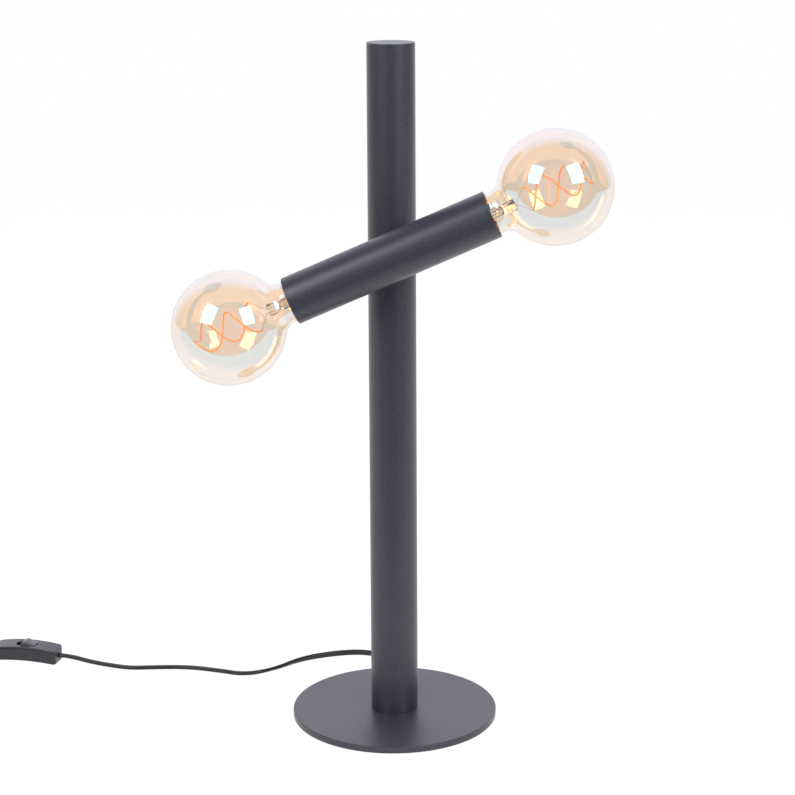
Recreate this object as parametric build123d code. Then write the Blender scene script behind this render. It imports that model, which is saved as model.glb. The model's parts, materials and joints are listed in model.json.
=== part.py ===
from build123d import *
import math
import os

# Table lamp with a tilting balance arm, in millimetres.
# A steel pole stands on a round steel plate. A second tube of the same section crosses in front
# of it and turns about a hollow pivot, with a globe bulb screwed into each end. The flat mains
# cord leaves the back of the pole, crosses the table to an in-line rocker switch, and its spare
# length is coiled beside it with a two-pin plug on the end.
# The origin is the middle of the base's underside. +Z is up and the arm crosses on the -Y side.

# Base
base_radius = 87.5
plate_thickness = 5.8
plate_edge_round = 0.6
pad_thickness = 1.0
pad_stand = 0.2
pad_gap = 0.3
pad_inset = 5.0
base_screw_count = 3
base_screw_circle = 12.0
base_screw_radius = 2.5
base_screw_length = 10.0
base_screw_head_radius = 5.0
base_screw_head_height = 2.8
base_screw_hole_gap = 0.25
base_screw_socket_flats = 3.0
base_screw_socket_depth = 1.8

# Pole
lamp_height = 580.0
tube_radius = 20.0
tube_wall = 1.5
tube_edge_round = 0.4
foot_thickness = 7.0
cap_flange = 1.5
cap_spigot_depth = 9.0
cap_edge_round = 0.5

# Arm and its pivot
pivot_height = 409.5
arm_length = 178.5
arm_tilt = 23.5
arm_swing = 65.0
saddle_radius = 12.0
saddle_crest = 1.5
friction_washer_thickness = 1.0
friction_washer_radius = 8.6
nipple_radius = 5.0
nipple_bore = 3.6
running_gap = 0.05
inner_saddle_radius = 9.0
inner_saddle_crest = 3.1
nut_flats = 14.0
nut_thickness = 3.5
nipple_spare = 1.0
spring_height = 1.3
spring_thickness = 0.7
stop_pin_radius = 1.0
stop_pin_circle = 10.2
stop_pin_reach = 1.2
stop_pin_seat = 3.5
stop_gap = 0.3

# Globe bulbs with a screw cap
globe_radius = 47.5
globe_stand_out = 55.25
bulb_length = 138.0
glass_wall = 0.9
neck_radius = 17.2
neck_blend = 12.0
neck_root_radius = 12.4
neck_root_depth = 12.0
neck_flare = 6.0
cap_radius = 13.0
cap_wall = 0.4
cap_length = 21.5
cap_lip_radius = 9.0
cap_cone = 3.0
insulator_drop = 2.6
insulator_seat = 1.5
tip_radius = 5.0
tip_height = 1.2
stem_radius = 4.2
stem_drop = 35.0
stem_flare = 12.0
filament_radius = 0.9
filament_coil_radius = 12.65
filament_pitch = 40.4
filament_length = 52.6
filament_shift = 2.4
filament_phase = {"left": 119.8, "right": -33.3}
lead_radius = 0.35

# Lampholders
shell_gap = 0.15
shell_wall = 0.4
shell_length = 25.0
core_thickness = 6.0
contact_thickness = 0.5
contact_width = 6.0
skirt_radius = 17.0
skirt_lip = 3.0
dome_depth = 16.5
dome_back_radius = 9.0
dome_wall = 2.5
bulkhead_thickness = 2.5
holder_nipple_spare = 1.5
wire_radius = 1.0
wire_pair_offset = 1.3
wire_bend = 4.0
wire_start_gap = 0.6

# Cord, which is flat, and is drawn as a round tube of its width
cord_width = 5.2
cord_grip = 4.0
exit_height = 19.0
bushing_hole_radius = 5.0
bushing_flange_radius = 7.0
bushing_flange = 1.8
bushing_collar_radius = 5.9
bushing_collar_depth = 4.0
relief_length = 21.0
relief_root_radius = 5.2
relief_tip_radius = 3.9
pole_cord_bend = 8.0

# In-line switch
switch_length = 61.4
switch_width = 20.8
switch_height = 15.0
switch_top_sag = 2.9
switch_belly = 2.0
switch_corner = 3.0
switch_wall = 1.6
switch_lid = 1.6
switch_seam_round = 1.0
switch_edge_round = 0.6
switch_place = (-341.8, 123.8)
switch_turn = -12.1
switch_cord_height = 6.0
switch_cord_lift = 15.0
rocker_slot_length = 20.2
rocker_slot_width = 12.4
rocker_length = 17.0
rocker_width = 11.2
rocker_crest = 3.7
rocker_crest_length = 3.0
rocker_crest_swell = 0.25
rocker_end_drop = 2.2
rocker_end_height = 4.2
rocker_dish = 0.5
rocker_pivot_drop = 4.6
rocker_tilt = 14.0
rocker_taper = 1.6
rocker_keel_length = 6.0
rocker_keel_depth = 2.6
trunnion_radius = 1.5
trunnion_length = 1.6
ear_thickness = 1.8
ear_half_length = 3.2
ear_gap = 0.3
switch_screw_place = (21.0, 5.4)
switch_screw_radius = 1.5
switch_screw_head_radius = 2.7
switch_screw_head_height = 1.4
switch_screw_reach = 4.0
switch_boss_radius = 3.0
strip_width = 4.4
strip_thickness = 0.8

# Spare cord, wound in two layers
coil_start = (-425.0, 138.5)
coil_inner_radius = 19.4
coil_gap = 0.6
coil_climb_inset = 0.8
coil_half_turns_in = 7
coil_half_turns_out = 6

# Two-pin plug
plug_face_width = 35.3
plug_face_height = 13.7
plug_tail_width = 17.0
plug_tail_height = 12.0
plug_corner = 5.0
plug_body_length = 24.0
plug_relief_length = 18.0
plug_relief_root = 4.9
plug_relief_tip = 3.9
plug_start_gap = 34.0
plug_cord_bend = 12.0
pin_radius = 2.0
pin_length = 19.0
pin_spacing = 18.0
pin_sleeve_length = 10.0
pin_sleeve_wall = 0.4
pin_root = 6.0
pin_tip_round = 1.2

# Sizes that follow from the ones above
cord_radius = cord_width / 2
base_height = pad_stand + plate_thickness
tube_bore = tube_radius - tube_wall
foot_top = base_height + foot_thickness
pivot_gap = 2 * saddle_crest + friction_washer_thickness
arm_offset = 2 * tube_radius + pivot_gap
globe_reach = arm_length / 2 + globe_stand_out
stem_reach = globe_reach - stem_drop
filament_start = globe_reach + filament_shift - filament_length / 2
filament_end = filament_start + filament_length
pole_flat = tube_radius + saddle_crest
washer_top = pole_flat + friction_washer_thickness
arm_wall_crest = arm_offset - tube_bore
arm_inner_flat = arm_wall_crest + inner_saddle_crest
pole_inner_flat = tube_bore - inner_saddle_crest
arm_nut_seat = arm_inner_flat + spring_height
nipple_front = arm_nut_seat + nut_thickness + nipple_spare
nipple_back = pole_inner_flat - nut_thickness - nipple_spare
running_bore = nipple_radius + running_gap
bulb_tip = globe_reach + globe_radius - bulb_length
bulb_insulator = bulb_tip + tip_height
bulb_lip = bulb_insulator + insulator_drop
bulb_cone = bulb_lip + cap_cone
bulb_cap_top = bulb_cone + cap_length - cap_cone
neck_root = bulb_cap_top - neck_root_depth
core_front = bulb_tip - 4 * contact_thickness
core_back = core_front - core_thickness
shell_bore = cap_radius + shell_gap
shell_radius = shell_bore + shell_wall
core_radius = shell_radius + shell_wall
skirt_front = core_front + shell_length + skirt_lip
dome_back = core_back - dome_depth
bulkhead_back = dome_back - bulkhead_thickness
holder_nipple_back = bulkhead_back - nut_thickness - holder_nipple_spare
holder_nipple_front = dome_back + dome_wall + holder_nipple_spare
bushing_tip = tube_radius + bushing_flange + relief_length
lid_seam = switch_height - switch_lid
coil_pitch = cord_width + coil_gap
coil_outer_radius = coil_inner_radius + coil_half_turns_in * coil_pitch / 2
coil_end_radius = coil_inner_radius + coil_half_turns_out * coil_pitch / 2
coil_centre = (coil_start[0], coil_start[1] - coil_outer_radius)
coil_low = cord_radius
coil_high = cord_radius + coil_pitch
plug_axis_height = plug_face_height / 2
plug_tip_x = coil_start[0] - plug_start_gap
plug_y = coil_centre[1] + coil_end_radius

# Places of the assemblies. In the pivot's own frame +Z comes forward out of the pole and +Y is up.
# In the arm's frame +X runs along the tube, and in a socket's frame +Z runs out of the tube's end.
pivot_place = Pos(0, 0, pivot_height) * Rot(90, 0, 0)
arm_place = pivot_place * Pos(0, 0, arm_offset) * Rot(0, 0, arm_tilt)
socket_place = {"left": arm_place * Rot(0, -90, 0), "right": arm_place * Rot(0, 90, 0)}
switch_frame = Pos(switch_place[0], switch_place[1], 0) * Rot(0, 0, switch_turn)
plug_frame = Pos(plug_tip_x, plug_y, plug_axis_height) * Rot(0, -90, 0)


def switch_point(along, height):
    """A point of the switch's long axis, in the lamp's frame."""
    turn = math.radians(switch_turn)
    x = switch_place[0] + along * math.cos(turn)
    y = switch_place[1] + along * math.sin(turn)
    return (x, y, height)


# Routes of the cord's free stretches, chosen by hand along the line in which it lies.
floor = cord_radius
switch_grip = switch_length / 2 - cord_grip
lead_route = [
    (0.0, bushing_tip - cord_grip, exit_height),
    (0.0, 60.0, exit_height),
    (-1.0, 82.0, 16.5),
    (-4.0, 103.0, 9.5),
    (-14.0, 123.0, 3.8),
    (-34.0, 134.0, floor),
    (-62.0, 128.5, floor),
    (-88.0, 116.0, floor),
    (-111.0, 92.5, floor),
    (-136.5, 80.5, floor),
    (-161.0, 90.5, floor),
    (-190.0, 99.0, floor),
    (-221.0, 98.5, floor),
    (-243.0, 96.5, floor),
    (-264.0, 104.0, floor),
    (-283.0, 111.0, floor),
    switch_point(switch_grip + switch_cord_lift, switch_cord_height),
    switch_point(switch_grip, switch_cord_height),
]
tail_route = [
    switch_point(-switch_grip, switch_cord_height),
    switch_point(-switch_grip - switch_cord_lift, switch_cord_height),
    (-397.0, 136.0, floor),
    (-409.0, coil_start[1], floor),
    (coil_start[0] + cord_width, coil_start[1], floor),
]
end_route = [
    (coil_start[0] - cord_width, plug_y, coil_high),
    (plug_tip_x + 1.5 * plug_cord_bend, plug_y, coil_high),
    (plug_tip_x + 0.5 * plug_cord_bend, plug_y, plug_axis_height),
    (plug_tip_x - cord_grip, plug_y, plug_axis_height),
]


def column(radius, low, high):
    """A round bar about Z between two heights."""
    return Pos(0, 0, low) * Cylinder(radius, high - low, align=(Align.CENTER, Align.CENTER, Align.MIN))


def turned(*outline):
    """A solid turned about Z from a closed outline of (radius, height) points."""
    return revolve(Plane.XZ * make_face(Polyline(*outline, close=True)), Axis.Z)


def ring(outer, inner, low, high):
    """A flat ring about Z."""
    return column(outer, low, high) - column(inner, low, high)


def hex_nut(seat, top):
    """A plain hexagon nut on the pivot's thread size."""
    blank = Pos(0, 0, seat) * extrude(RegularPolygon(nut_flats / 2, 6, major_radius=False), top - seat)
    return blank - column(nipple_radius, seat, top)


def rod(start, end, radius):
    """A straight wire between two points."""
    axis = Vector(*end) - Vector(*start)
    return extrude(Plane(origin=start, z_dir=axis) * Circle(radius), axis.length)


def swept(path, radius):
    """A round tube along a path."""
    return sweep(Plane(origin=path @ 0, z_dir=path % 0) * Circle(radius), path=path)


def stadium(length, width, low, high):
    """A bar with half-round ends, along X."""
    return Pos(0, 0, low) * extrude(SlotOverall(length, width), high - low)


# Base
def screw_circle():
    return PolarLocations(base_screw_circle, base_screw_count, start_angle=90)


def base_screw(gap=0.0):
    """A countersunk screw, head down, or the clearance cut for it when a gap is given."""
    shank = base_screw_radius + gap
    low = pad_thickness
    return turned(
        (0, low),
        (base_screw_head_radius, low),
        (shank, low + base_screw_head_height),
        (shank, low + base_screw_length),
        (0, low + base_screw_length),
    )


def base_screws():
    socket = extrude(
        Pos(0, 0, pad_thickness) * RegularPolygon(base_screw_socket_flats / 2, 6, major_radius=False),
        base_screw_socket_depth,
    )
    screw = base_screw() - socket
    return Compound([place * screw for place in screw_circle()])


def base_pad():
    return column(base_radius - pad_inset - pad_gap, 0, pad_thickness)


def base_plate():
    """Round plate with a shallow recess below, in which the pad sits."""
    plate = column(base_radius, pad_stand, base_height)
    plate = fillet(plate.edges(), plate_edge_round)
    plate -= column(base_radius - pad_inset, 0, pad_thickness)
    cut = base_screw(base_screw_hole_gap)
    return plate - [place * cut for place in screw_circle()]


def pole_foot():
    foot = column(tube_bore, base_height, foot_top)
    tapped = column(base_screw_radius, base_height, pad_thickness + base_screw_length)
    return foot - [place * tapped for place in screw_circle()]


# Pole
def exit_axis():
    """The cord's way out of the back of the pole, with +Z pointing away from the lamp."""
    return Pos(0, 0, exit_height) * Rot(-90, 0, 0)


def pole_tube():
    tube = ring(tube_radius, tube_bore, base_height, lamp_height - cap_flange)
    tube -= exit_axis() * column(bushing_hole_radius, 0, tube_radius + 1)
    tube -= pivot_place * column(nipple_radius, 0, tube_radius + 1)
    return tube


def pole_cap():
    low = lamp_height - cap_flange
    flange = column(tube_radius, low, lamp_height)
    flange = fillet(flange.edges().group_by(Axis.Z)[-1], cap_edge_round)
    spigot = ring(tube_bore, tube_bore - tube_wall, low - cap_spigot_depth, low)
    return flange + spigot


def cord_bushing(tube):
    """Snap-in bushing: a collar inside the wall, a flange outside and a tapered sleeve."""
    collar_low = tube_bore - bushing_collar_depth
    outside = tube_radius + bushing_flange
    blank = turned(
        (0, collar_low),
        (bushing_collar_radius, collar_low),
        (bushing_collar_radius, tube_bore),
        (bushing_hole_radius, tube_bore),
        (bushing_hole_radius, tube_radius - 1),
        (bushing_flange_radius, tube_radius - 1),
        (bushing_flange_radius, outside),
        (relief_root_radius, outside),
        (relief_tip_radius, bushing_tip),
        (0, bushing_tip),
    ) - column(cord_radius, collar_low, bushing_tip)
    return exit_axis() * blank - tube


def pole_cord():
    """The cord inside the lamp: in through the bushing, up the pole and out along the pivot."""
    path = FilletPolyline(
        (0, bushing_tip - cord_grip, exit_height),
        (0, 0, exit_height),
        (0, 0, pivot_height),
        (0, -nipple_front, pivot_height),
        radius=pole_cord_bend,
    )
    return swept(path, cord_radius)


# Pivot, in its own frame
def pole_round(radius):
    """The pole as a bar, seen from the pivot."""
    return Rot(90, 0, 0) * Cylinder(radius, 4 * tube_radius)


def arm_round(radius):
    """The arm as a bar, seen from the pivot."""
    return Pos(0, 0, arm_offset) * Rot(0, 0, arm_tilt) * Rot(0, 90, 0) * Cylinder(radius, 4 * tube_radius)


def stop_place():
    return Rot(0, 0, arm_tilt + 90) * Pos(stop_pin_circle, 0, 0)


def stop_slot():
    """The arc in which the stop pin travels, a running gap past the pin at both ends."""
    half_width = stop_pin_radius + stop_gap / 2
    end_angle = math.degrees((stop_pin_radius + stop_gap) / stop_pin_circle)
    span = 2 * (arm_swing + end_angle)
    section = Plane.XZ * Pos(stop_pin_circle, tube_radius) * Rectangle(2 * half_width, 4 * saddle_radius)
    return Rot(0, 0, 90 - span / 2) * revolve(section, Axis.Z, span)


def pole_saddle():
    blank = column(saddle_radius, 0, pole_flat)
    return blank - pole_round(tube_radius) - column(nipple_radius, 0, pole_flat) - stop_slot()


def friction_washer():
    return ring(friction_washer_radius, nipple_radius, pole_flat, washer_top)


def stop_pin():
    return stop_place() * column(stop_pin_radius, pole_flat - stop_pin_reach, washer_top + stop_pin_seat)


def arm_saddle():
    blank = column(saddle_radius, washer_top, arm_offset) - arm_round(tube_radius)
    blank -= column(running_bore, washer_top, arm_offset)
    return blank.solids().sort_by(Axis.Z)[0] - stop_pin()


def arm_inner_saddle():
    blank = column(inner_saddle_radius, arm_wall_crest - 1, arm_inner_flat) & arm_round(tube_bore)
    return blank - column(running_bore, arm_wall_crest - 1, arm_inner_flat)


def pole_inner_saddle():
    blank = column(inner_saddle_radius, pole_inner_flat, tube_bore + 1) & pole_round(tube_bore)
    return blank - column(nipple_radius, pole_inner_flat, tube_bore + 1)


def disc_spring():
    rise = spring_height - spring_thickness
    return turned(
        (nipple_radius, arm_inner_flat + rise),
        (inner_saddle_radius, arm_inner_flat),
        (inner_saddle_radius, arm_inner_flat + spring_thickness),
        (nipple_radius, arm_nut_seat),
    )


def pivot_nipple():
    return ring(nipple_radius, nipple_bore, nipple_back, nipple_front)


# Arm
def arm_tube():
    half = arm_length / 2
    tube = Rot(0, 90, 0) * ring(tube_radius, tube_bore, -half, half)
    tube = fillet(tube.edges().filter_by(GeomType.CIRCLE), tube_edge_round)
    return tube - column(running_bore, -tube_radius - 1, 0)


def bulkhead():
    return ring(tube_bore, nipple_radius, bulkhead_back, dome_back)


def holder_nipple():
    return ring(nipple_radius, nipple_bore, holder_nipple_back, holder_nipple_front)


def holder_dome():
    """Bell-shaped back of the lampholder, with the wiring space inside."""
    shoulder = dome_back + dome_depth / 2
    outside = turned(
        (0, dome_back),
        (dome_back_radius, dome_back),
        (skirt_radius, shoulder),
        (skirt_radius, core_back),
        (0, core_back),
    )
    inside = turned(
        (0, dome_back + dome_wall),
        (dome_back_radius - dome_wall, dome_back + dome_wall),
        (skirt_radius - dome_wall, shoulder + dome_wall / 2),
        (skirt_radius - dome_wall, core_back),
        (0, core_back),
    )
    return outside - inside - column(nipple_radius, dome_back, dome_back + dome_wall)


def holder_core():
    """Ceramic disc that carries the screw shell and the centre contact."""
    return column(core_radius, core_back, core_front)


def holder_shell():
    return ring(shell_radius, shell_bore, core_front, core_front + shell_length)


def holder_skirt():
    """Outer sleeve round the core and the shell, with a lip in front of the shell."""
    shell_front = core_front + shell_length
    return turned(
        (core_radius, core_back),
        (skirt_radius, core_back),
        (skirt_radius, skirt_front - skirt_lip / 2),
        (skirt_radius - skirt_lip / 2, skirt_front),
        (shell_bore, skirt_front),
        (shell_bore, shell_front),
        (core_radius, shell_front),
    )


def holder_contact():
    """Springy tongue that is riveted to the core and presses on the bulb's tip."""
    low = core_front
    step = contact_thickness
    top = bulb_tip
    tongue = Polyline(
        (-9.0, low),
        (-4.5, low),
        (-0.5, top - step),
        (3.0, top - step),
        (3.0, top),
        (-0.8, top),
        (-4.8, low + step),
        (-9.0, low + step),
        close=True,
    )
    return extrude(Plane.XZ * make_face(tongue), contact_width / 2, both=True)


def socket_wires(side):
    """Two cores from the pivot to one lampholder, in the arm's frame."""
    sign = {"left": -1, "right": 1}[side]
    start = nipple_front + wire_start_gap - arm_offset
    wires = []
    for offset in (-wire_pair_offset, wire_pair_offset):
        path = FilletPolyline(
            (sign * wire_pair_offset, offset, start),
            (sign * wire_pair_offset, offset, 0),
            (sign * core_back, offset, 0),
            radius=wire_bend,
        )
        wires.append(swept(path, wire_radius))
    return Compound(wires)


# Bulb, in its socket's frame
def bulb_space(wall):
    """The bulb's outer form, or the space inside the glass when a wall is given."""
    round_sum = globe_radius + neck_blend
    blend_r = neck_radius + neck_blend
    blend_z = globe_reach - math.sqrt(round_sum**2 - blend_r**2)
    lean = math.asin(blend_r / round_sum)
    middle = (lean + math.pi) / 2
    globe = globe_radius - wall
    blend = neck_blend + wall
    half_lean = (math.pi / 2 - lean) / 2

    def on_globe(angle):
        return (globe * math.sin(angle), globe_reach - globe * math.cos(angle))

    root = neck_root_radius - wall
    outline = [
        Line((0, neck_root), (root, neck_root)),
        Line((root, neck_root), (root, bulb_cap_top)),
        Line((root, bulb_cap_top), (neck_radius - wall, bulb_cap_top + neck_flare)),
        Line((neck_radius - wall, bulb_cap_top + neck_flare), (neck_radius - wall, blend_z)),
        ThreePointArc(
            (neck_radius - wall, blend_z),
            (blend_r - blend * math.cos(half_lean), blend_z + blend * math.sin(half_lean)),
            on_globe(lean),
        ),
        ThreePointArc(on_globe(lean), on_globe(middle), on_globe(math.pi)),
        Line(on_globe(math.pi), (0, neck_root)),
    ]
    return revolve(Plane.XZ * make_face(Wire(outline)), Axis.Z)


def bulb_glass():
    return bulb_space(0) - bulb_space(glass_wall)


def bulb_cap():
    return turned(
        (cap_radius - cap_wall, bulb_cap_top),
        (cap_radius, bulb_cap_top),
        (cap_radius, bulb_cone),
        (cap_lip_radius, bulb_lip),
        (cap_lip_radius - cap_wall, bulb_lip),
        (cap_radius - cap_wall, bulb_cone),
    )


def bulb_insulator_ring():
    return turned(
        (0, bulb_insulator),
        (tip_radius, bulb_insulator),
        (cap_lip_radius - cap_wall, bulb_lip),
        (cap_radius - cap_wall, bulb_cone),
        (cap_radius - cap_wall, bulb_cone + insulator_seat),
        (0, bulb_cone + insulator_seat),
    )


def bulb_contact_tip():
    return turned((0, bulb_tip), (tip_radius - tip_height, bulb_tip), (tip_radius, bulb_insulator), (0, bulb_insulator))


def bulb_stem():
    """Glass foot inside the neck: a flare that closes the bulb and a tube pinched on the leads."""
    flare = neck_root_radius - glass_wall
    return turned(
        (0, neck_root),
        (flare, neck_root),
        (flare, neck_root + glass_wall),
        (stem_radius, neck_root + stem_flare),
        (stem_radius, stem_reach - stem_radius),
        (stem_radius / 2, stem_reach),
        (0, stem_reach),
    )


def filament_angle(strand, height, side):
    """Bearing of a strand in degrees; the phase is the first strand's at the globe's middle."""
    turn = 360 * (height - globe_reach) / filament_pitch
    return filament_phase[side] + 180 * strand + turn


def filament_point(strand, height, side):
    angle = math.radians(filament_angle(strand, height, side))
    return (filament_coil_radius * math.cos(angle), filament_coil_radius * math.sin(angle), height)


def bulb_filament(side):
    """Two soft strands wound round each other like the sides of a twisted ladder."""
    helix = Helix(filament_pitch, filament_end - filament_start, filament_coil_radius)
    section = Plane(origin=helix @ 0, z_dir=helix % 0) * Circle(filament_radius)
    strand = sweep(section, path=helix, is_frenet=True)
    turns = [filament_angle(number, filament_start, side) for number in (0, 1)]
    return Compound([Pos(0, 0, filament_start) * Rot(0, 0, turn) * strand for turn in turns])


def bulb_leads(side):
    """Wires from the stem to both strands, and the bridge that joins the strands' far ends."""
    wires = []
    for strand in (0, 1):
        foot = filament_point(strand, filament_start, side)
        share = stem_radius / 2 / filament_coil_radius
        root = (foot[0] * share, foot[1] * share, stem_reach - tip_height)
        wires.append(rod(root, foot, lead_radius))
    ends = [filament_point(strand, filament_end, side) for strand in (0, 1)]
    wires.append(rod(ends[0], ends[1], lead_radius))
    return [wire - bulb_stem() - bulb_filament(side).solids() for wire in wires]


# In-line switch, in its own frame with +X along the cord and Z = 0 on the table
def switch_slice(inset, low, top):
    """A slice of the arched body between two arches, given by their heights at mid length."""
    half = switch_length / 2 - inset
    bow = half / (switch_length / 2)
    sag = switch_top_sag * bow**2
    belly = switch_belly * bow**2
    drop = {"table": belly, "lid": sag}
    low_height, low_arch = low
    top_height, top_arch = top
    outline = [
        ThreePointArc((-half, low_height - drop[low_arch]), (0, low_height), (half, low_height - drop[low_arch])),
        Line((half, low_height - drop[low_arch]), (half, top_height - drop[top_arch])),
        ThreePointArc((half, top_height - drop[top_arch]), (0, top_height), (-half, top_height - drop[top_arch])),
        Line((-half, top_height - drop[top_arch]), (-half, low_height - drop[low_arch])),
    ]
    side = extrude(Plane.XZ * make_face(Wire(outline)), switch_width / 2, both=True)
    plan = RectangleRounded(2 * half, switch_width - 2 * inset, max(switch_corner - inset, 0.5))
    return side & extrude(plan, 2 * switch_height, both=True)


def switch_screws_at():
    x, y = switch_screw_place
    return [Pos(-x, y, 0), Pos(x, -y, 0)]


def switch_screw_seat():
    """Height of the screw heads' seat: inside the belly, above the table."""
    x = switch_screw_place[0]
    return switch_belly * (1 - (2 * x / switch_length) ** 2) + switch_screw_head_height


def boss_foot():
    return switch_screw_seat() + switch_wall


def switch_lid_shell():
    lid = switch_slice(0, (lid_seam, "lid"), (switch_height, "lid"))
    top_face = lid.faces().sort_by(Axis.Z)[-1]
    lid = fillet(top_face.edges(), switch_edge_round)
    lid -= stadium(rocker_slot_length, rocker_slot_width, 0, 2 * switch_height)
    pivot = switch_height - rocker_pivot_drop
    ear_low = pivot - trunnion_radius - ear_thickness
    ear_high = lid_seam
    ear_y = rocker_slot_width / 2 + ear_thickness / 2
    for side in (-1, 1):
        ear = Pos(0, side * ear_y, (ear_low + ear_high) / 2) * Box(
            2 * ear_half_length, ear_thickness, ear_high - ear_low
        )
        lid += ear
    lid -= Pos(0, 0, pivot) * Rot(90, 0, 0) * Cylinder(trunnion_radius + running_gap, switch_width - 2 * switch_wall)
    for place in switch_screws_at():
        lid += place * column(switch_boss_radius, boss_foot(), lid_seam - switch_top_sag / 2)
        lid -= place * column(switch_screw_radius, boss_foot(), boss_foot() + switch_screw_reach)
    return lid - switch_cord_hole()


def switch_cord_hole():
    return Pos(0, 0, switch_cord_height) * Rot(0, 90, 0) * Cylinder(cord_radius, 2 * switch_length)


def switch_tray():
    tray = switch_slice(0, (switch_belly, "table"), (lid_seam, "lid"))
    tray = chamfer(tray.faces().sort_by(Axis.Z)[-1].edges(), switch_seam_round)
    tray -= switch_slice(switch_wall, (switch_belly + switch_wall, "table"), (lid_seam + 1, "lid"))
    tray -= switch_cord_hole()
    for place in switch_screws_at():
        foot = place * column(switch_boss_radius, switch_belly, boss_foot())
        tray += foot
        tray -= place * column(switch_screw_radius, 0, boss_foot())
        tray -= place * column(switch_screw_head_radius, 0, switch_screw_seat())
    return tray


def switch_screws():
    seat = switch_screw_seat()
    screw = column(switch_screw_head_radius, seat - switch_screw_head_height, seat)
    screw += column(switch_screw_radius, seat, boss_foot() + switch_screw_reach)
    return Compound([place * screw for place in switch_screws_at()])


def switch_contacts():
    """Two brass strips on the tray's floor, one from each cord end to the middle."""
    low = switch_belly + switch_wall
    sheet = switch_slice(switch_wall, (low, "table"), (low + strip_thickness, "table"))
    inner = rocker_keel_length / 2 + 2 * strip_thickness
    outer = switch_grip - 2 * strip_thickness
    middle = (inner + outer) / 2
    blank = Box(outer - inner, strip_width, 2 * switch_height)
    return Compound([sheet & Pos(sign * middle, 0, 0) * blank for sign in (-1, 1)])


def switch_rocker():
    """Rocker with a raised crest between two dished faces, pressed down on its left."""
    pivot = switch_height - rocker_pivot_drop
    crest = switch_height + rocker_crest
    end = switch_height - rocker_end_drop
    low = end - rocker_end_height
    half = rocker_length / 2
    crest_half = rocker_crest_length / 2
    dish_x = (half + crest_half) / 2
    dish_z = (crest + end) / 2 - rocker_dish
    outline = [
        Line((-half + rocker_taper, low), (half - rocker_taper, low)),
        Line((half - rocker_taper, low), (half, end)),
        ThreePointArc((half, end), (dish_x, dish_z), (crest_half, crest)),
        ThreePointArc((crest_half, crest), (0, crest + rocker_crest_swell), (-crest_half, crest)),
        ThreePointArc((-crest_half, crest), (-dish_x, dish_z), (-half, end)),
        Line((-half, end), (-half + rocker_taper, low)),
    ]
    body = extrude(Plane.XZ * make_face(Wire(outline)), rocker_width / 2, both=True)
    body &= stadium(rocker_length, rocker_width, 0, 2 * switch_height)
    keel = Pos(0, 0, low - rocker_keel_depth / 2) * Box(rocker_keel_length, rocker_width / 2, rocker_keel_depth)
    pins = Pos(0, 0, pivot) * Rot(90, 0, 0) * Cylinder(trunnion_radius, rocker_width + 2 * trunnion_length)
    level = body + keel + pins
    about = Pos(0, 0, pivot) * Rot(0, -rocker_tilt, 0) * Pos(0, 0, -pivot)
    return about * level


# Cord
def corner_radii(points):
    """Largest radius that each corner's two runs allow."""
    radii = []
    for before, corner, after in zip(points, points[1:], points[2:]):
        run_in = Vector(*corner) - Vector(*before)
        run_out = Vector(*after) - Vector(*corner)
        half_turn = math.radians(run_in.get_angle(run_out)) / 2
        radii.append(0.45 * min(run_in.length, run_out.length) / math.tan(half_turn))
    return radii


def cord_tube(name, points):
    radii = corner_radii(points)
    path = FilletPolyline(*points, radius=radii)
    tube = swept(path, cord_radius)
    share = tube.volume / (math.pi * cord_radius**2 * path.length)
    print(f"{name}: length {path.length:.0f}, volume share {share:.4f}")
    print(f"{name}: radii " + " ".join(f"{radius:.0f}" for radius in radii))
    return tube, path.length


def biarc(start, start_way, end, end_way):
    """Two tangent arcs between two points with given directions."""
    chord = end - start
    ways = start_way + end_way
    a = ways.dot(ways) - 4
    b = -2 * chord.dot(ways)
    c = chord.dot(chord)
    if abs(a) < 1e-9:
        reach = -c / b if abs(b) > 1e-9 else chord.length / 2
    else:
        reach = (-b - math.sqrt(b * b - 4 * a * c)) / (2 * a)
    first = start + start_way * reach
    second = end - end_way * reach
    joint = (first + second) / 2
    return [
        TangentArc(start, joint, tangent=start_way),
        TangentArc(joint, end, tangent=second - first),
    ]


def coil_stations():
    """Each half turn's radius and height: in on the table, one climb, and out again on top."""
    stations = [(coil_outer_radius - k * coil_pitch / 2, coil_low) for k in range(coil_half_turns_in)]
    stations.append((coil_inner_radius - coil_climb_inset, coil_low))
    stations.append((coil_inner_radius - coil_climb_inset, coil_high))
    for k in range(coil_half_turns_out):
        stations.append((coil_inner_radius + (k + 1) * coil_pitch / 2, coil_high))
    return stations


def coil_edges():
    points = []
    for k, (radius, height) in enumerate(coil_stations()):
        sign = 1 if k % 2 == 0 else -1
        place = Vector(coil_centre[0], coil_centre[1] + sign * radius, height)
        points.append((place, Vector(-sign, 0, 0)))
    edges = [Line(points[0][0] - points[0][1] * cord_width, points[0][0])]
    for (start, start_way), (end, end_way) in zip(points, points[1:]):
        edges += biarc(start, start_way, end, end_way)
    edges.append(Line(points[-1][0], points[-1][0] + points[-1][1] * cord_width))
    return edges


def least_gap(edges):
    """Least gap between turns, measured on points that lie at least half a turn apart."""
    marks = []
    travelled = 0.0
    for edge in edges:
        steps = 12
        for k in range(steps):
            marks.append((travelled + edge.length * k / steps, edge @ (k / steps)))
        travelled += edge.length
    apart = math.pi * coil_inner_radius / 2
    least = min(
        (first - second).length
        for i, (way, first) in enumerate(marks)
        for other, second in marks[i + 1:]
        if other - way > apart
    )
    return least - cord_width


def cord_coil():
    edges = coil_edges()
    path = Wire(edges)
    tube = swept(path, cord_radius)
    share = tube.volume / (math.pi * cord_radius**2 * path.length)
    print(f"coil: length {path.length:.0f}, volume share {share:.4f}, least gap {least_gap(edges):.2f}")
    return tube, path.length


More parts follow.
